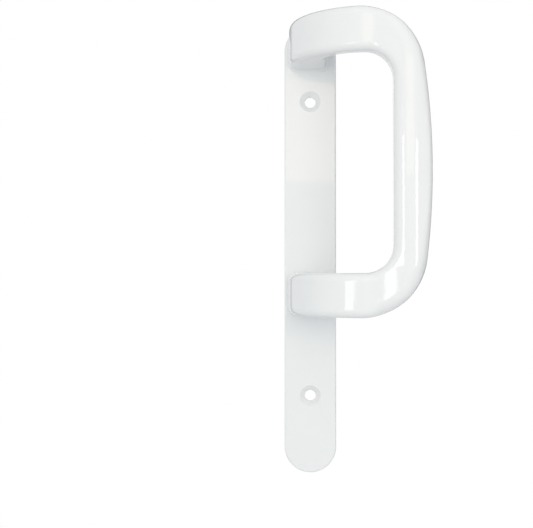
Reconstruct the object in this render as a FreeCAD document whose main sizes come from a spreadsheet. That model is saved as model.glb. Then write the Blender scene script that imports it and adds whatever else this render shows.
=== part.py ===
"""Pull handle of a sliding patio door, cast in one piece and coated gloss white.

A long round-ended backplate screws flat to the door's stile. Two stout legs
stand on it and lean sideways, clear of the plate, to carry an upright D grip.

Frame: millimetres. +Z is up and the back of the plate lies on y = 0, with the
door behind it at +Y. The origin is midway between the two screw holes. The
grip reaches towards +X and towards the user at -Y.

The legs and the grip are one crank-shaped profile seen from above, padded the
full height of the D and then cut to the D outline seen from the front. That
is why the front of each leg is straight from top to bottom and curves only
from side to side.
"""
import FreeCAD, Part
import math
import os

import Sketcher

vector = FreeCAD.Vector

# Driving sizes, in millimetres and degrees. Sides are named as the user sees
# them: left is -X, where the legs stand, and right is +X, where the grip is.
SIZES = {
    # Backplate
    "plate_width": 28.0,
    "plate_length": 243.0,
    "plate_thickness": 6.0,
    "plate_edge_radius": 1.0,
    # Screws: two countersunk M5
    "screw_spacing": 160.0,
    "screw_hole": 6.0,
    "countersink_width": 11.4,
    "countersink_angle": 90.0,
    # Hollow in the back of the plate, as cast
    "back_rim": 3.0,
    "back_recess": 2.5,
    "back_rib": 12.0,
    "screw_boss": 15.0,
    "recess_corner": 3.0,
    # D outline, seen from the front
    "opening_middle": 42.0,
    "opening_height": 110.6,
    "opening_corner": 14.0,
    "leg_height": 22.4,
    "grip_reach": 60.35,
    "grip_width": 19.1,
    "bow_middle": 37.0,
    "bow_radius": 369.0,
    "upper_corner": 33.5,
    "lower_corner": 33.0,
    # Feet of the legs on the plate
    "foot_left": 11.1,
    "foot_right": 8.8,
    "foot_flare": 1.2,
    # Crank profile, seen from above: the front
    "grip_projection": 61.7,
    "ridge_inset": 11.2,
    "ridge_radius": 10.6,
    "outer_slope": 20.0,
    "inner_slope": 17.5,
    "hollow_radius": 30.0,
    "shoulder_rise": 1.2,
    "shoulder_radius": 45.7,
    # Crank profile, seen from above: the back
    "grip_depth": 16.0,
    "back_slope": 2.0,
    "elbow_radius": 18.5,
    # Roundings along the rims, on the legs and on the grip
    "leg_rounding": 3.9,
    "grip_outer_rounding": 7.5,
    "grip_inner_rounding": 5.5,
    "back_rounding": 3.0,
}

# Stock left outside a cut, so that no cut shares a face with the casting
STOCK = 20.0
# How far the flare round a foot runs on inside the leg
OVERLAP = 0.3
# Faces that meet in a corner turn by more than this, in degrees
CREASE = 5.0
# A normal with less than this along an axis counts as square to it
SQUARE = 0.1
# A point nearer to a plane than this, in millimetres, lies on it
ON_PLANE = 0.01
# The points of a line or an arc that a sketch's constraints name
START, END, CENTRE = 1, 2, 3

doc = FreeCAD.newDocument("patio_door_handle")
sheet = doc.addObject("Spreadsheet::Sheet", "sizes")
for row, (name, size) in enumerate(SIZES.items(), start=1):
    sheet.set(f"A{row}", name)
    sheet.set(f"B{row}", str(size))
    sheet.setAlias(f"B{row}", name)
doc.recompute()


def cell(name):
    """The value of one cell of the sheet, as a plain number."""
    return float(sheet.get(name))


def new_sketch(body, name, role, height=None):
    """A sketch on one of the body's origin planes, raised along its normal by an expression."""
    sketch = body.newObject("Sketcher::SketchObject", name)
    plane = [item for item in body.Origin.OriginFeatures if item.Role == role][0]
    sketch.AttachmentSupport = (plane, [""])
    sketch.MapMode = "FlatFace"
    if height:
        sketch.setExpression("AttachmentOffset.Base.z", height)
    return sketch


def dimension(sketch, kind, refs, expression):
    """Measures the drawn geometry, adds that dimension and ties it to the sheet."""
    if kind == "Radius":
        drawn = sketch.Geometry[refs[0]].Radius
    elif kind == "Angle":
        run = sketch.Geometry[refs[0]].EndPoint - sketch.Geometry[refs[0]].StartPoint
        drawn = math.atan2(run.y, run.x)
    elif kind == "Distance":
        base = sketch.Geometry[refs[2]]
        drawn = sketch.getPoint(*refs[:2]).distanceToLine(base.StartPoint, base.EndPoint - base.StartPoint)
    else:
        point = sketch.getPoint(*refs)
        drawn = point.x if kind == "DistanceX" else point.y
    index = sketch.addConstraint(Sketcher.Constraint(kind, *refs, drawn))
    sketch.setExpression(f"Constraints[{index}]", expression)


def at_point(sketch, geometry, place, across, along):
    """Ties both coordinates of a point to expressions."""
    dimension(sketch, "DistanceX", (geometry, place), across)
    dimension(sketch, "DistanceY", (geometry, place), along)


def line(start, end):
    """A straight run of an outline."""
    return Part.LineSegment(vector(*start, 0), vector(*end, 0))


def arc(centre, radius, start_angle, end_angle):
    """An arc of an outline, counter-clockwise, with its angles in degrees."""
    circle = Part.Circle(vector(*centre, 0), vector(0, 0, 1), radius)
    return Part.ArcOfCircle(circle, math.radians(start_angle), math.radians(end_angle))


def close_outline(sketch, runs, first=0):
    """Draws the runs of a closed outline and joins each to the next, end to start.

    Each run is its geometry, how it joins the next run, and whether it was drawn
    backwards, as an arc that turns clockwise is. The first run is number first.
    """
    sketch.addGeometry([geometry for geometry, joint, backwards in runs])
    for index, (geometry, joint, backwards) in enumerate(runs):
        following = (index + 1) % len(runs)
        leaves = START if backwards else END
        arrives = END if runs[following][2] else START
        sketch.addConstraint(Sketcher.Constraint(joint, first + index, leaves, first + following, arrives))


def polar(centre, radius, angle):
    """The point of a circle at an angle in degrees."""
    turn = math.radians(angle)
    return (centre[0] + radius * math.cos(turn), centre[1] + radius * math.sin(turn))


def front_centres():
    """Centres of the ridge, the shoulder and the hollow in the crank profile, and the hollow's turn.

    The ridge of the grip has a slope on each side. The shoulder of the leg stands out
    over the line of the inner slope, and the shallow hollow runs from one to the other.
    """
    front, inner = -cell("plate_thickness"), cell("inner_slope")
    ridge_radius, shoulder_radius = cell("ridge_radius"), cell("shoulder_radius")
    ridge = (cell("grip_reach") - cell("ridge_inset"), front - cell("grip_projection") + ridge_radius)
    inner_end = polar(ridge, ridge_radius, 270 - inner)
    inward = polar((0, 0), 1, 90 - inner)
    shoulder_x = shoulder_radius - cell("foot_left")
    depth = inner_end[0] * inward[0] + inner_end[1] * inward[1] + shoulder_radius - cell("shoulder_rise")
    shoulder = (shoulder_x, (depth - shoulder_x * inward[0]) / inward[1])
    centres = shoulder_radius + cell("hollow_radius")
    hollow_turn = math.degrees(math.acos(1 - cell("shoulder_rise") / centres))
    hollow = polar(shoulder, centres, 270 - inner + hollow_turn)
    return ridge, shoulder, hollow, hollow_turn


def draw_crank(body):
    """The crank profile of the legs and the grip, seen from above, at the middle of the opening.

    In this sketch y is 0 on the door and runs to minus the projection at the user.
    """
    front = -cell("plate_thickness")
    root = -(cell("plate_thickness") + cell("back_recess")) / 2
    left, right = -cell("foot_left"), cell("grip_reach") + STOCK

    # Front of the profile: shoulder, hollow, inner slope, ridge and outer slope
    ridge, shoulder, hollow, hollow_turn = front_centres()
    ridge_radius, shoulder_radius, hollow_radius = (
        cell("ridge_radius"), cell("shoulder_radius"), cell("hollow_radius"))
    inner, outer = cell("inner_slope"), cell("outer_slope")
    outer_start = polar(ridge, ridge_radius, 270 + outer)
    outer_end = (right, outer_start[1] + (right - outer_start[0]) * math.tan(math.radians(outer)))

    # Back of the profile: back of the grip, elbow and the foot's right side
    slope, elbow_radius = cell("back_slope"), cell("elbow_radius")
    fall = math.tan(math.radians(slope))
    back_at_reach = front - cell("grip_projection") + cell("grip_depth")
    elbow_x = cell("foot_right") + elbow_radius
    elbow = (elbow_x, back_at_reach + (cell("grip_reach") - elbow_x) * fall
             + elbow_radius / math.cos(math.radians(slope)))
    outer_back = (right, back_at_reach - STOCK * fall)
    root_right = (cell("foot_right"), root)

    sketch = new_sketch(body, "crank_profile", "XY_Plane", "sizes.opening_middle")
    side, shoulder_arc, hollow_arc, inner_line, ridge_arc, outer_line, stock_end = range(7)
    grip_back, elbow_arc, foot_side, root_line = range(7, 11)
    close_outline(sketch, [
        (line((left, root), (left, shoulder[1])), "Tangent", False),
        (arc(shoulder, shoulder_radius, 180, 270 - inner + hollow_turn), "Tangent", False),
        (arc(hollow, hollow_radius, 90 - inner, 90 - inner + hollow_turn), "Tangent", True),
        (line(polar(hollow, hollow_radius, 90 - inner), polar(ridge, ridge_radius, 270 - inner)),
         "Tangent", False),
        (arc(ridge, ridge_radius, 270 - inner, 270 + outer), "Tangent", False),
        (line(outer_start, outer_end), "Coincident", False),
        (line(outer_end, outer_back), "Coincident", False),
        (line(outer_back, polar(elbow, elbow_radius, 270 - slope)), "Tangent", False),
        (arc(elbow, elbow_radius, 180, 270 - slope), "Tangent", True),
        (line((cell("foot_right"), elbow[1]), root_right), "Coincident", False),
        (line(root_right, (left, root)), "Coincident", False),
    ])
    for upright in (side, stock_end, foot_side):
        sketch.addConstraint(Sketcher.Constraint("Vertical", upright))
    sketch.addConstraint(Sketcher.Constraint("Horizontal", root_line))
    at_point(sketch, side, START, "-sizes.foot_left", "-(sizes.plate_thickness + sizes.back_recess) / 2")
    dimension(sketch, "Radius", (shoulder_arc,), "sizes.shoulder_radius")
    dimension(sketch, "Distance", (shoulder_arc, CENTRE, inner_line),
              "sizes.shoulder_radius - sizes.shoulder_rise")
    dimension(sketch, "Radius", (hollow_arc,), "sizes.hollow_radius")
    dimension(sketch, "Angle", (inner_line,), "-sizes.inner_slope * 1 deg")
    at_point(sketch, ridge_arc, CENTRE, "sizes.grip_reach - sizes.ridge_inset",
             "sizes.ridge_radius - sizes.plate_thickness - sizes.grip_projection")
    dimension(sketch, "Radius", (ridge_arc,), "sizes.ridge_radius")
    dimension(sketch, "Angle", (outer_line,), "sizes.outer_slope * 1 deg")
    at_point(sketch, grip_back, START, f"sizes.grip_reach + {STOCK}",
             "sizes.grip_depth - sizes.plate_thickness - sizes.grip_projection"
             f" - {STOCK} * tan(sizes.back_slope * 1 deg)")
    dimension(sketch, "Angle", (grip_back,), "(180 - sizes.back_slope) * 1 deg")
    dimension(sketch, "Radius", (elbow_arc,), "sizes.elbow_radius")
    dimension(sketch, "DistanceX", (foot_side, END), "sizes.foot_right")
    return sketch


def draw_grip_outline(body):
    """Everything outside the D, seen from the front: a frame of stock with the D inside it."""
    middle, reach = cell("opening_middle"), cell("grip_reach")
    half = cell("opening_height") / 2 + cell("leg_height")
    bow_radius, low_radius, high_radius = cell("bow_radius"), cell("lower_corner"), cell("upper_corner")
    left = -cell("foot_left") - STOCK
    bow = (reach - bow_radius, cell("bow_middle"))
    # Each corner lies inside the bow and touches it, this far round from the bow's middle
    low_rise = bow[1] - (middle - half + low_radius)
    high_rise = middle + half - high_radius - bow[1]
    low_turn = math.degrees(math.asin(low_rise / (bow_radius - low_radius)))
    high_turn = math.degrees(math.asin(high_rise / (bow_radius - high_radius)))
    low_corner = polar(bow, bow_radius - low_radius, -low_turn)
    high_corner = polar(bow, bow_radius - high_radius, high_turn)
    stock_left, stock_right = left - STOCK, reach + 2 * STOCK
    stock_low, stock_high = middle - half - 2 * STOCK, middle + half + 2 * STOCK

    sketch = new_sketch(body, "grip_outline", "XZ_Plane")
    close_outline(sketch, [
        (line((stock_left, stock_low), (stock_right, stock_low)), "Coincident", False),
        (line((stock_right, stock_low), (stock_right, stock_high)), "Coincident", False),
        (line((stock_right, stock_high), (stock_left, stock_high)), "Coincident", False),
        (line((stock_left, stock_high), (stock_left, stock_low)), "Coincident", False),
    ])
    low, low_arc, bow_arc, high_arc, high, end = range(4, 10)
    close_outline(sketch, [
        (line((left, middle - half), (low_corner[0], middle - half)), "Tangent", False),
        (arc(low_corner, low_radius, 270, 360 - low_turn), "Tangent", False),
        (arc(bow, bow_radius, -low_turn, high_turn), "Tangent", False),
        (arc(high_corner, high_radius, high_turn, 90), "Tangent", False),
        (line((high_corner[0], middle + half), (left, middle + half)), "Coincident", False),
        (line((left, middle + half), (left, middle - half)), "Coincident", False),
    ], first=low)
    for across in (0, 2, low, high):
        sketch.addConstraint(Sketcher.Constraint("Horizontal", across))
    for upright in (1, 3, end):
        sketch.addConstraint(Sketcher.Constraint("Vertical", upright))
    half_height = "(sizes.opening_height / 2 + sizes.leg_height)"
    at_point(sketch, 0, START, f"-sizes.foot_left - {2 * STOCK}",
             f"sizes.opening_middle - {half_height} - {2 * STOCK}")
    at_point(sketch, 2, START, f"sizes.grip_reach + {2 * STOCK}",
             f"sizes.opening_middle + {half_height} + {2 * STOCK}")
    at_point(sketch, low, START, f"-sizes.foot_left - {STOCK}",
             f"sizes.opening_middle - {half_height}")
    dimension(sketch, "DistanceY", (high, START), f"sizes.opening_middle + {half_height}")
    dimension(sketch, "Radius", (low_arc,), "sizes.lower_corner")
    dimension(sketch, "Radius", (high_arc,), "sizes.upper_corner")
    dimension(sketch, "Radius", (bow_arc,), "sizes.bow_radius")
    at_point(sketch, bow_arc, CENTRE, "sizes.grip_reach - sizes.bow_radius", "sizes.bow_middle")
    return sketch


def draw_opening(body):
    """The hand opening inside the D, open to the left between the legs."""
    middle, half = cell("opening_middle"), cell("opening_height") / 2
    right, corner = cell("grip_reach") - cell("grip_width"), cell("opening_corner")
    left = -cell("foot_left") - STOCK
    sketch = new_sketch(body, "hand_opening", "XZ_Plane")
    low, low_corner, upright, high_corner, high, end = range(6)
    close_outline(sketch, [
        (line((left, middle - half), (right - corner, middle - half)), "Tangent", False),
        (arc((right - corner, middle - half + corner), corner, 270, 360), "Tangent", False),
        (line((right, middle - half + corner), (right, middle + half - corner)), "Tangent", False),
        (arc((right - corner, middle + half - corner), corner, 0, 90), "Tangent", False),
        (line((right - corner, middle + half), (left, middle + half)), "Coincident", False),
        (line((left, middle + half), (left, middle - half)), "Coincident", False),
    ])
    sketch.addConstraint(Sketcher.Constraint("Horizontal", low))
    sketch.addConstraint(Sketcher.Constraint("Horizontal", high))
    sketch.addConstraint(Sketcher.Constraint("Vertical", end))
    sketch.addConstraint(Sketcher.Constraint("Vertical", upright))
    at_point(sketch, low, START, f"-sizes.foot_left - {STOCK}",
             "sizes.opening_middle - sizes.opening_height / 2")
    dimension(sketch, "DistanceY", (high, START), "sizes.opening_middle + sizes.opening_height / 2")
    dimension(sketch, "DistanceX", (upright, START), "sizes.grip_reach - sizes.grip_width")
    dimension(sketch, "Radius", (low_corner,), "sizes.opening_corner")
    dimension(sketch, "Radius", (high_corner,), "sizes.opening_corner")
    return sketch


def cut_through(body, name, sketch):
    """A pocket through the whole casting, both ways from its sketch; it has to take something."""
    before = body.Tip.Shape.Volume
    pocket = body.newObject("PartDesign::Pocket", name)
    pocket.Profile = sketch
    pocket.Type = "ThroughAll"
    pocket.SideType = "Symmetric"
    doc.recompute()
    assert pocket.Shape.Volume < before - 1, f"{name} cut nothing"
    return pocket


def make_grip():
    """The D grip with its two legs, sharp-edged: profile, outline and hand opening."""
    body = doc.addObject("PartDesign::Body", "grip_body")
    pad = body.newObject("PartDesign::Pad", "crank")
    pad.Profile = draw_crank(body)
    pad.SideType = "Symmetric"
    pad.setExpression("Length", f"sizes.opening_height + 2 * sizes.leg_height + {2 * STOCK}")
    doc.recompute()
    cut_through(body, "grip_trim", draw_grip_outline(body))
    cut_through(body, "opening_cut", draw_opening(body))
    return body


def normals_across(shape, edge):
    """The outward normals of the two faces that meet at the middle of an edge."""
    middle = edge.valueAt((edge.FirstParameter + edge.LastParameter) / 2)
    faces = [face for face in shape.Faces if any(other.isSame(edge) for other in face.Edges)]
    return [face.normalAt(*face.Surface.parameter(middle)) for face in faces]


def is_crease(normals):
    """Whether two faces meet in a corner rather than flow together."""
    return len(normals) == 2 and normals[0].getAngle(normals[1]) > math.radians(CREASE)


def round_rims(body):
    """Rounds every rim of the grip and its legs, more on the grip than on the legs.

    There are four rims: front and back, each outside and inside the D. From the
    end of the hollow on, the front ones grow from the legs' rounding to the grip's.
    """
    shape = body.Shape
    root = -(cell("plate_thickness") + cell("back_recess")) / 2
    leg_middle = (cell("opening_height") + cell("leg_height")) / 2
    grip_middle = cell("grip_reach") - cell("grip_width") / 2
    hollow = front_centres()[2]
    growth_start = polar(hollow, cell("hollow_radius"), 90 - cell("inner_slope"))[0]
    rows = []
    for index, edge in enumerate(shape.Edges, start=1):
        normals = normals_across(shape, edge)
        middle = edge.valueAt((edge.FirstParameter + edge.LastParameter) / 2)
        if not is_crease(normals) or abs(middle.y - root) < ON_PLANE:
            continue
        profile = [normal for normal in normals if abs(normal.z) < SQUARE]
        faces_user = any(normal.y < -SQUARE or normal.x < SQUARE - 1 for normal in profile)
        is_outer = abs(middle.z - cell("opening_middle")) > leg_middle or middle.x > grip_middle
        if not faces_user:
            rows.append((index, cell("back_rounding"), cell("back_rounding")))
            continue
        on_leg, on_grip = cell("leg_rounding"), cell("grip_inner_rounding")
        growth_end = cell("grip_reach") - cell("grip_width")
        if is_outer:
            on_grip, growth_end = cell("grip_outer_rounding"), cell("grip_reach")
        shares = [(vertex.X - growth_start) / (growth_end - growth_start) for vertex in edge.Vertexes]
        radii = [on_leg + (on_grip - on_leg) * min(max(share, 0), 1) for share in shares]
        rows.append((index, radii[0], radii[-1]))
    rounded = doc.addObject("Part::Fillet", "rounded_grip")
    rounded.Base = body
    rounded.Edges = rows
    doc.recompute()
    return rounded


def draw_slot(body, name, inset=0, inset_cell="0"):
    """The backplate's outline, or one inside it: two straight sides and two round ends."""
    half_width = cell("plate_width") / 2 - inset
    end = (cell("plate_length") - cell("plate_width")) / 2
    sketch = new_sketch(body, name, "XZ_Plane")
    close_outline(sketch, [
        (line((half_width, -end), (half_width, end)), "Tangent", False),
        (arc((0, end), half_width, 0, 180), "Tangent", False),
        (line((-half_width, end), (-half_width, -end)), "Tangent", False),
        (arc((0, -end), half_width, 180, 360), "Tangent", False),
    ])
    for index, sign in ((1, ""), (3, "-")):
        at_point(sketch, index, CENTRE, "0", f"{sign}(sizes.plate_length - sizes.plate_width) / 2")
        dimension(sketch, "Radius", (index,), f"sizes.plate_width / 2 - {inset_cell}")
    return sketch


def draw_recess(body):
    """The hollow cast into the upper half of the back, round the boss of the screw."""
    inside = cell("plate_width") / 2 - cell("back_rim")
    end = (cell("plate_length") - cell("plate_width")) / 2
    floor, corner = cell("back_rib") / 2, cell("recess_corner")
    sketch = new_sketch(body, "recess_outline", "XZ_Plane")
    close_outline(sketch, [
        (line((corner - inside, floor), (inside - corner, floor)), "Tangent", False),
        (arc((inside - corner, floor + corner), corner, 270, 360), "Tangent", False),
        (line((inside, floor + corner), (inside, end)), "Tangent", False),
        (arc((0, end), inside, 0, 180), "Tangent", False),
        (line((-inside, end), (-inside, floor + corner)), "Tangent", False),
        (arc((corner - inside, floor + corner), corner, 180, 270), "Tangent", False),
    ])
    sketch.addConstraint(Sketcher.Constraint("Horizontal", 0))
    sketch.addConstraint(Sketcher.Constraint("Vertical", 2))
    sketch.addConstraint(Sketcher.Constraint("Vertical", 4))
    dimension(sketch, "DistanceY", (0, START), "sizes.back_rib / 2")
    at_point(sketch, 3, CENTRE, "0", "(sizes.plate_length - sizes.plate_width) / 2")
    dimension(sketch, "Radius", (3,), "sizes.plate_width / 2 - sizes.back_rim")
    dimension(sketch, "Radius", (1,), "sizes.recess_corner")
    dimension(sketch, "Radius", (5,), "sizes.recess_corner")
    boss = sketch.addGeometry(Part.Circle(vector(0, cell("screw_spacing") / 2, 0), vector(0, 0, 1),
                                          cell("screw_boss") / 2))
    at_point(sketch, boss, CENTRE, "0", "sizes.screw_spacing / 2")
    dimension(sketch, "Radius", (boss,), "sizes.screw_boss / 2")
    return sketch


def make_plate():
    """The backplate: slot outline, rounded front edge, hollow back and countersunk screw holes."""
    body = doc.addObject("PartDesign::Body", "plate_body")
    pad = body.newObject("PartDesign::Pad", "plate")
    pad.Profile = draw_slot(body, "plate_outline")
    pad.setExpression("Length", "sizes.plate_thickness")
    doc.recompute()

    front = -cell("plate_thickness")
    rim = [f"Edge{index}" for index, edge in enumerate(pad.Shape.Edges, start=1)
           if all(abs(vertex.Y - front) < ON_PLANE for vertex in edge.Vertexes)]
    edge_round = body.newObject("PartDesign::Fillet", "plate_edge")
    edge_round.Base = (pad, rim)
    edge_round.setExpression("Radius", "sizes.plate_edge_radius")
    doc.recompute()

    recess = body.newObject("PartDesign::Pocket", "back_hollow")
    recess.Profile = draw_recess(body)
    recess.Reversed = True
    recess.setExpression("Length", "sizes.back_recess")
    doc.recompute()
    assert recess.Shape.Volume < edge_round.Shape.Volume - 1, "the back hollow cut nothing"

    screw = new_sketch(body, "screw_place", "XZ_Plane", "sizes.plate_thickness")
    screw.addGeometry(Part.Circle(vector(0, cell("screw_spacing") / 2, 0), vector(0, 0, 1),
                                  cell("screw_hole") / 2))
    at_point(screw, 0, CENTRE, "0", "sizes.screw_spacing / 2")
    dimension(screw, "Radius", (0,), "sizes.screw_hole / 2")
    hole = body.newObject("PartDesign::Hole", "screw_hole")
    hole.Profile = screw
    doc.recompute()
    hole.ThreadType = "None"
    hole.DepthType = "ThroughAll"
    hole.HoleCutType = "Countersink"
    hole.HoleCutCustomValues = True
    hole.setExpression("Diameter", "sizes.screw_hole")
    hole.setExpression("HoleCutDiameter", "sizes.countersink_width")
    hole.setExpression("HoleCutCountersinkAngle", "sizes.countersink_angle")
    doc.recompute()
    assert hole.Shape.Volume < recess.Shape.Volume - 1, "the screw hole cut nothing"

    mirror = body.newObject("PartDesign::Mirrored", "lower_half")
    mirror.Originals = [recess, hole]
    middle = [item for item in body.Origin.OriginFeatures if item.Role == "XY_Plane"][0]
    mirror.MirrorPlane = (middle, [""])
    body.Tip = mirror
    doc.recompute()
    assert mirror.Shape.Volume < hole.Shape.Volume - 1, "the mirrored half cut nothing"
    return body


def draw_feet(body):
    """Both feet with the flare round them: rectangles with rounded corners, flush with the legs' roots."""
    left, right = -cell("foot_left") - cell("foot_flare"), cell("foot_right") + cell("foot_flare")
    left_radius = cell("leg_rounding") + cell("foot_flare")
    right_radius = cell("back_rounding") + cell("foot_flare")
    middle, near = cell("opening_middle"), cell("opening_height") / 2 - cell("foot_flare")
    far = near + cell("leg_height") + 2 * cell("foot_flare")
    near_cell = "(sizes.opening_height / 2 - sizes.foot_flare)"
    far_cell = "(sizes.opening_height / 2 + sizes.leg_height + sizes.foot_flare)"
    sketch = new_sketch(body, "feet", "XZ_Plane", "(sizes.plate_thickness + sizes.back_recess) / 2")
    feet = ((0, middle - far, middle - near, f"sizes.opening_middle - {far_cell}",
             f"sizes.opening_middle - {near_cell}"),
            (8, middle + near, middle + far, f"sizes.opening_middle + {near_cell}",
             f"sizes.opening_middle + {far_cell}"))
    for first, low, high, low_cell, high_cell in feet:
        corners = ((right - right_radius, low + right_radius, right_radius, 270),
                   (right - right_radius, high - right_radius, right_radius, 0),
                   (left + left_radius, high - left_radius, left_radius, 90),
                   (left + left_radius, low + left_radius, left_radius, 180))
        runs = []
        previous = corners[-1]
        for corner in corners:
            x, z, radius, angle = corner
            runs.append((line(polar(previous[:2], previous[2], angle), polar((x, z), radius, angle)),
                         "Tangent", False))
            runs.append((arc((x, z), radius, angle, angle + 90), "Tangent", False))
            previous = corner
        close_outline(sketch, runs, first=first)
        bottom, right_side, top, left_side = first, first + 2, first + 4, first + 6
        for across in (bottom, top):
            sketch.addConstraint(Sketcher.Constraint("Horizontal", across))
        for upright in (right_side, left_side):
            sketch.addConstraint(Sketcher.Constraint("Vertical", upright))
        dimension(sketch, "DistanceY", (bottom, START), low_cell)
        dimension(sketch, "DistanceY", (top, START), high_cell)
        dimension(sketch, "DistanceX", (right_side, START), "sizes.foot_right + sizes.foot_flare")
        dimension(sketch, "DistanceX", (left_side, START), "-sizes.foot_left - sizes.foot_flare")
        for index, rounding in ((1, "back"), (3, "back"), (5, "leg"), (7, "leg")):
            dimension(sketch, "Radius", (first + index,), f"sizes.{rounding}_rounding + sizes.foot_flare")
    return sketch


def make_flares():
    """The small flare that each foot spreads onto the flat of the plate's front."""
    body = doc.addObject("PartDesign::Body", "flare_body")
    pad = body.newObject("PartDesign::Pad", "foot_pads")
    pad.Profile = draw_feet(body)
    pad.setExpression("Length", "(sizes.plate_thickness - sizes.back_recess) / 2"
                      f" + sizes.foot_flare + {OVERLAP}")
    doc.recompute()
    top = -cell("plate_thickness") - cell("foot_flare") - OVERLAP
    rim = [f"Edge{index}" for index, edge in enumerate(pad.Shape.Edges, start=1)
           if all(abs(vertex.Y - top) < ON_PLANE for vertex in edge.Vertexes)]
    flare = body.newObject("PartDesign::Chamfer", "foot_flares")
    flare.Base = (pad, rim)
    flare.setExpression("Size", f"sizes.foot_flare + {OVERLAP}")

    flat_body = doc.addObject("PartDesign::Body", "flat_body")
    flat = flat_body.newObject("PartDesign::Pad", "flat_front")
    flat.Profile = draw_slot(flat_body, "flat_outline", inset=cell("plate_edge_radius"),
                             inset_cell="sizes.plate_edge_radius")
    flat.setExpression("Length", "sizes.plate_thickness + 2 * sizes.foot_flare")
    trimmed = doc.addObject("Part::Common", "trimmed_flares")
    trimmed.Base, trimmed.Tool = body, flat_body
    doc.recompute()
    assert len(trimmed.Shape.Solids) == 2, "a foot has lost its flare"
    return trimmed


def join_casting(plate, grip, flares):
    """Casts the plate, the legs with the grip, and the flares of the feet together."""
    casting = doc.addObject("Part::MultiFuse", "pull_handle")
    casting.Shapes = [plate, grip, flares]
    casting.Refine = True
    doc.recompute()
    return casting


rounded_grip = round_rims(make_grip())
pull_handle = join_casting(make_plate(), rounded_grip, make_flares())
pull_handle.Label = "pull_handle"

for item in doc.Objects:
    assert not {"Invalid", "Error"} & set(item.State), f"{item.Label} failed: {item.State}"
casting = pull_handle.Shape
assert not casting.isNull() and casting.isValid() and len(casting.Solids) == 1, "the casting is broken"

os.makedirs("parts", exist_ok=True)
casting.exportStep(f"parts/{pull_handle.Label}.step")
box = casting.BoundBox
print(f"{pull_handle.Label}: {box.XLength:.1f} x {box.YLength:.1f} x {box.ZLength:.1f} mm,"
      f" {casting.Volume / 1000:.1f} cm3, {len(casting.Faces)} faces")
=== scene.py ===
# %% [markdown]
# # A gloss white pull handle for a patio door
#
# The handle is one casting: a long backplate, two stout legs and an upright
# D grip. Its shape comes ready from the construction model, so this lesson is
# about the finish, the studio and the camera. A plain white object is a good
# test of all three, because nothing but light and gloss shows its form.

# %% Load the handle
import math

import bpy
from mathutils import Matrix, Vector


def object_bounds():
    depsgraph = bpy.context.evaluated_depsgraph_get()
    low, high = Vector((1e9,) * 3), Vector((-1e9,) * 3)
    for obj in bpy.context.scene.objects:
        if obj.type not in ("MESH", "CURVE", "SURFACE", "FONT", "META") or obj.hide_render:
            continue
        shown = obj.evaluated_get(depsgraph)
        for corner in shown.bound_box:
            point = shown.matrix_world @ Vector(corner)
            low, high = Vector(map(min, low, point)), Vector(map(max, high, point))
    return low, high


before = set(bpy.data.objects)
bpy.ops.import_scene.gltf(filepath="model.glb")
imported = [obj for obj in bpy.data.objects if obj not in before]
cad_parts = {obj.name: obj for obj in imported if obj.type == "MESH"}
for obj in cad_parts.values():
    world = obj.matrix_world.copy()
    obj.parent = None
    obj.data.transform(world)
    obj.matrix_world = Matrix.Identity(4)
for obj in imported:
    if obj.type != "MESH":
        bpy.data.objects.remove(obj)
cad_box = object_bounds()
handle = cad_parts["pull_handle"]
print("handle:", len(handle.data.polygons), "triangles")

# %% [markdown]
# ## Writing shader maths as Python
#
# A node tree is easier to read as a formula. The class `Flow` wraps a socket,
# so that `1 - mask` or `grain * 0.2` adds the Math node that it stands for. The
# class `Shader` adds every other node, and links what it is given as inputs.


# %% A socket that does sums
class Flow:
    """The output of a shader node, with arithmetic that adds Math nodes."""

    def __init__(self, tree, socket):
        self.tree, self.socket = tree, socket

    def math(self, operation, *values):
        return self.tree.add("ShaderNodeMath", {"operation": operation}, dict(enumerate(values)))

    def __add__(self, other):
        return self.math("ADD", self, other)

    def __sub__(self, other):
        return self.math("SUBTRACT", self, other)

    def __rsub__(self, other):
        return self.math("SUBTRACT", other, self)

    def __mul__(self, other):
        return self.math("MULTIPLY", self, other)

    __radd__, __rmul__ = __add__, __mul__


# %% A node tree under construction
class Shader:
    """The nodes of a material or of the world."""

    def __init__(self, owner):
        owner.use_nodes = True
        self.nodes, self.links = owner.node_tree.nodes, owner.node_tree.links
        self.nodes.clear()

    def add(self, kind, settings=None, inputs=None, output=0):
        """One node: its settings first, then the values or links of its sockets."""
        node = self.nodes.new(kind)
        for name, value in (settings or {}).items():
            setattr(node, name, value)
        for name, value in (inputs or {}).items():
            if isinstance(value, Flow):
                self.links.new(value.socket, node.inputs[name])
            else:
                node.inputs[name].default_value = value
        return Flow(self, node.outputs[output]) if node.outputs else None


# %% [markdown]
# ## The gloss white coat
#
# The real handle is cast metal under a thick, glossy, baked white coat. Such a
# coat shows two things up close: sharp reflections with soft waves in them,
# which painters call orange peel, and a very slight unevenness of the white.
# Painting them from a picture would fix them to one view, so both are noise on
# the handle itself. The waves are a bump of a few thousandths of a millimetre:
# they show in the reflections and never in the outline.

# %% Make the noise of the coat
coat = bpy.data.materials.new("gloss_white_coat")
shader = Shader(coat)
place = shader.add("ShaderNodeTexCoord", output="Object")


def waves(per_metre, detail):
    """A soft noise over the handle, about 0.5 on average."""
    return shader.add("ShaderNodeTexNoise", {"normalize": True}, {
        "Vector": place, "Scale": per_metre, "Detail": detail, "Roughness": 0.5}, output="Fac")


clouds = waves(45, 2)
peel = waves(420, 1)
print("noise:", len(coat.node_tree.nodes), "nodes")

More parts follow.
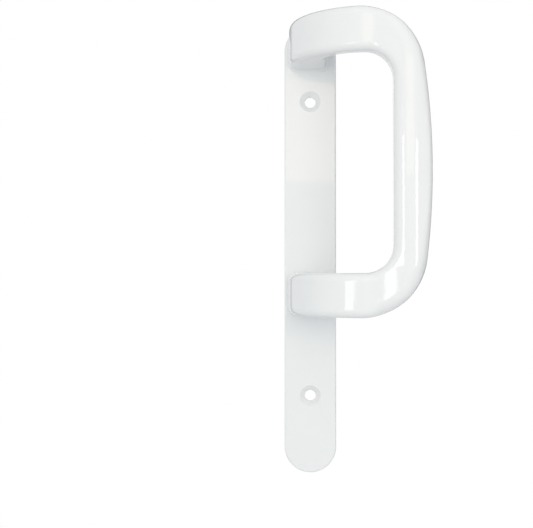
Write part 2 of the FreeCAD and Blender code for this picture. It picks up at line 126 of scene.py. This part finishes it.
# %% Make the coat and paint the handle
white = shader.add("ShaderNodeMix", {"data_type": "RGBA"}, {
    "Factor": clouds, "A": (0.825, 0.835, 0.84, 1), "B": (0.85, 0.86, 0.865, 1)}, output=2)
bump = shader.add("ShaderNodeBump", {}, {"Strength": 0.008, "Distance": 0.0004, "Height": peel})
surface = shader.add("ShaderNodeBsdfPrincipled", {}, {
    "Base Color": white, "Roughness": 0.5, "Specular IOR Level": 0.0,
    "Coat Weight": 1.0, "Coat Roughness": 0.03, "Coat IOR": 1.4, "Coat Normal": bump})
shader.add("ShaderNodeOutputMaterial", {}, {"Surface": surface})
for slot in handle.material_slots:
    slot.material = coat
print("coat:", len(handle.material_slots), "slot painted")

# %% [markdown]
# ## Floor and surroundings
#
# The ground of the photograph is pure white. A pale floor lies well below the
# handle, and the studio beyond it is white to the camera and in reflections.
# As a light on the handle the studio is calmer: brightest on the user's side,
# dimmer towards the door, and very slightly blue.


# %% Lay the floor
def seen_directly(tree):
    """1 for a ray that comes from the camera, from a reflection or through glass."""
    return sum(tree.add("ShaderNodeLightPath", output=f"Is {kind} Ray")
               for kind in ("Camera", "Glossy", "Transmission"))


WHITE = (1, 1, 1, 1)
FLOOR_DROP = 0.80
FLOOR_GLOW = 0.9  # the rest of what is seen of the floor takes shadows

bpy.ops.mesh.primitive_plane_add(size=5, location=(0, 0, cad_box[0].z - FLOOR_DROP))
floor = bpy.context.object
floor.name = "floor"
ground = bpy.data.materials.new("pale_floor")
shader = Shader(ground)
plain = shader.add("ShaderNodeBsdfDiffuse", {}, {"Color": (0.92, 0.92, 0.92, 1)})
glow = shader.add("ShaderNodeEmission", {}, {"Color": WHITE, "Strength": 1.0})
both = shader.add("ShaderNodeMixShader", {}, {
    0: seen_directly(shader) * FLOOR_GLOW, 1: plain, 2: glow})
shader.add("ShaderNodeOutputMaterial", {}, {"Surface": both})
floor.data.materials.append(ground)
print("floor:", round(floor.location.z, 3), "m")

# %% Set the world
DOOR_SIDE = (0.64, 0.65, 0.655, 1)
USER_SIDE = (0.885, 0.91, 0.925, 1)

world = bpy.data.worlds.new("white_studio")
bpy.context.scene.world = world
shader = Shader(world)
direction = shader.add("ShaderNodeTexCoord", output="Generated")
along = shader.add("ShaderNodeSeparateXYZ", {}, {"Vector": direction}, output="Y")
sky = shader.add("ShaderNodeMix", {"data_type": "RGBA"}, {
    "Factor": 0.5 - along * 0.5, "A": DOOR_SIDE, "B": USER_SIDE}, output=2)
room = shader.add("ShaderNodeBackground", {}, {"Color": sky, "Strength": 1.0})
backdrop = shader.add("ShaderNodeBackground", {}, {"Color": WHITE, "Strength": 1.0})
mixed = shader.add("ShaderNodeMixShader", {}, {0: seen_directly(shader), 1: room, 2: backdrop})
shader.add("ShaderNodeOutputWorld", {}, {"Surface": mixed})
print("studio:", len(world.node_tree.nodes), "nodes")

# %% [markdown]
# ## Grey and black cards for the edges
#
# White on white loses its outline. Photographers put grey and black cards
# beside and behind such an object: the edges that turn away from the camera
# reflect them and get a fine dark line, while the faces stay bright. These
# cards are hidden from the camera, so the ground behind them stays white.


# %% Set up the cards
def card(name, middle, width, height, turn=0, shade=0.05):
    """An upright card that only light and reflections meet; turn swings it to the side."""
    bpy.ops.mesh.primitive_plane_add(
        size=1, location=middle, rotation=(math.radians(90), 0, math.radians(turn)))
    sheet = bpy.context.object
    sheet.name = name
    sheet.scale = (width, height, 1)
    sheet.visible_camera = False
    paint = bpy.data.materials.new(name)
    tree = Shader(paint)
    matt = tree.add("ShaderNodeBsdfDiffuse", {}, {"Color": (shade, shade, shade, 1)})
    tree.add("ShaderNodeOutputMaterial", {}, {"Surface": matt})
    sheet.data.materials.append(paint)
    print("card:", name, width, "x", height, "m")


card("card_left", (-0.42, 0.9, 0.22), 0.24, 2.15, shade=0.50)
card("card_right", (0.80, 0.9, 0.22), 1.12, 1.40)
card("card_side", (1.5, 0.35, 0.22), 1.0, 1.40, turn=90)
card("card_top", (-0.03, 0.9, 0.80), 0.54, 0.98)
card("card_bottom", (-0.03, 0.9, -0.61), 0.54, 0.48, shade=0.60)

# %% [markdown]
# ## Lamps
#
# The studio gives the form its soft shading, and the lamps draw what glints. A
# strip on each side of the camera makes the two streaks down the grip. A low
# lamp on the left makes the stripe on the lower leg, and a narrow one beside it
# the bright patch in the grip's lower bend. A wide, warm lamp above the camera
# shows as a pale sheen on the plate, the upper leg and the grip. Near lamps are
# used, not far ones, so that each shines on one part of the handle only.

# %% Hang the lamps
LAMP_DISTANCE = 0.72
MIDDLE_X, MIDDLE_Y = 0.03, -0.05
COOL_WHITE = (0.97, 0.99, 1)
WARM_WHITE = (1, 0.85, 0.55)


def lamp(name, azimuth, height_above, width, height, radiance, colour=COOL_WHITE, lean=0):
    """An area lamp that faces the handle, in metres and degrees.

    Azimuth 0 is the camera's side, lean tips the lamp's top to the left, and a
    radiance of 1 looks just white.
    """
    turn = math.radians(azimuth)
    towards = Vector((math.sin(turn), -math.cos(turn), 0))
    data = bpy.data.lights.new(name, "AREA")
    data.shape, data.size, data.size_y = "RECTANGLE", width, height
    data.energy = radiance * math.pi * width * height
    data.color = colour
    item = bpy.data.objects.new(name, data)
    bpy.context.scene.collection.objects.link(item)
    item.location = Vector((MIDDLE_X, MIDDLE_Y, height_above)) + towards * LAMP_DISTANCE
    upright = towards.to_track_quat("Z", "Y").to_euler()
    upright.rotate_axis("Z", math.radians(lean))
    item.rotation_euler = upright
    print("lamp:", name, round(data.energy, 3), "W")


lamp("left_low", -36.9, -0.025, 0.148, 0.088, 4.6, lean=-6)
lamp("left_spot", -29.7, -0.027, 0.014, 0.040, 5.0)
lamp("left_strip", -29.6, 0.066, 0.088, 0.142, 5.8, lean=14)
lamp("right_strip", 33.5, 0.04, 0.16, 0.19, 6.0)
lamp("warm_card", -1, 0.195, 0.50, 0.19, 1.9, WARM_WHITE)

# %% [markdown]
# ## Camera
#
# The camera stands straight in front of the backplate, level with the lower
# part of the grip, and looks a little to the left, so that the handle stands
# right of the middle as in the photograph.

# %% Set the camera
WIDTH = 533  # the picture's width in pixels
FOCAL_PIXELS = 1111.7
SENSOR = 36.0

camera_data = bpy.data.cameras.new("camera")
camera_data.sensor_width = SENSOR
camera_data.lens = FOCAL_PIXELS * SENSOR / WIDTH
camera_data.clip_start, camera_data.clip_end = 0.01, 100
camera = bpy.data.objects.new("camera", camera_data)
camera.location = (0.00077, -0.61089, -0.01372)
camera.rotation_euler = (math.radians(90.5115), 0, math.radians(2.3256))
bpy.context.scene.collection.objects.link(camera)
bpy.context.scene.camera = camera
bpy.context.scene.view_settings.view_transform = "Standard"
print("camera:", round(camera_data.lens, 1), "mm")
